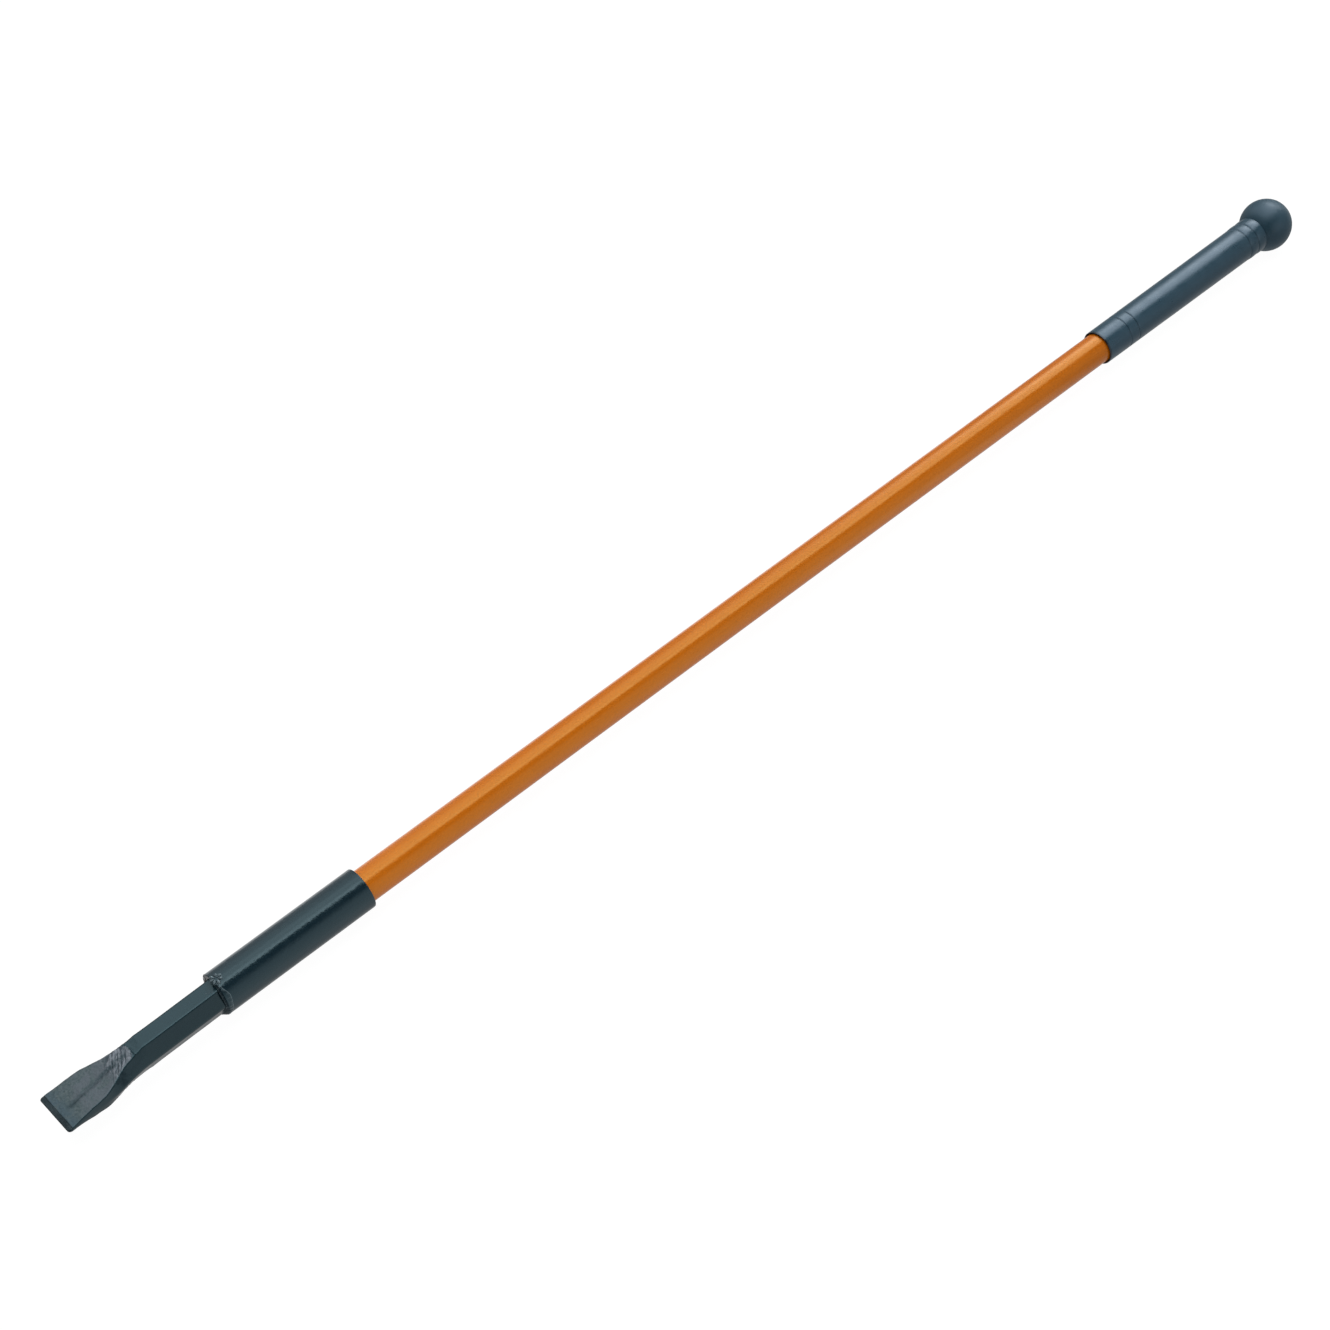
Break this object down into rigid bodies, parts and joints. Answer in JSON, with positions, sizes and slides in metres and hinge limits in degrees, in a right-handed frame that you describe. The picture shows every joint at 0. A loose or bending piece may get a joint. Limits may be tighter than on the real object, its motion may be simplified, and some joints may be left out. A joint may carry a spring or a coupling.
{
  "type": "insulated digging bar",
  "caption": "Long pry and digging bar with a forged hexagonal chisel end, a steel socket, an insulated round shaft and a moulded grip that ends in a ball.",
  "frame": {"origin": "middle of the blunt cutting edge of the chisel, on the axis of the bar", "axes": "+X runs along the bar from the cutting edge to the ball, +Z is square to the flat faces of the blade, +Y runs across the blade"},
  "size_m": [1.5, 0.053, 0.053],
  "materials": {
    "slate_paint": "semi-gloss slate blue-green paint over forged and drawn steel",
    "painted_weld": "the same slate paint over a rough weld bead",
    "orange_sleeve": "semi-gloss orange extruded plastic",
    "warning_layer": "matt pale yellow inner insulation",
    "glass_fibre": "pultruded glass fibre in resin",
    "adhesive": "cured epoxy adhesive",
    "grip_plastic": "satin slate blue moulded plastic",
    "ball_plastic": "satin to matt dark slate moulded plastic"
  },
  "bodies": {
    "root": {"chisel_bar": "slate_paint", "socket_tube": "slate_paint", "socket_weld": "painted_weld", "plug_weld": "painted_weld", "core_rod": "glass_fibre", "warning_layer": "warning_layer", "outer_sleeve": "orange_sleeve", "socket_adhesive": "adhesive", "grip_sleeve": "grip_plastic", "grip_adhesive": "adhesive", "ball_knob": "ball_plastic", "knob_adhesive": "adhesive"}
  },
  "joints": []
}
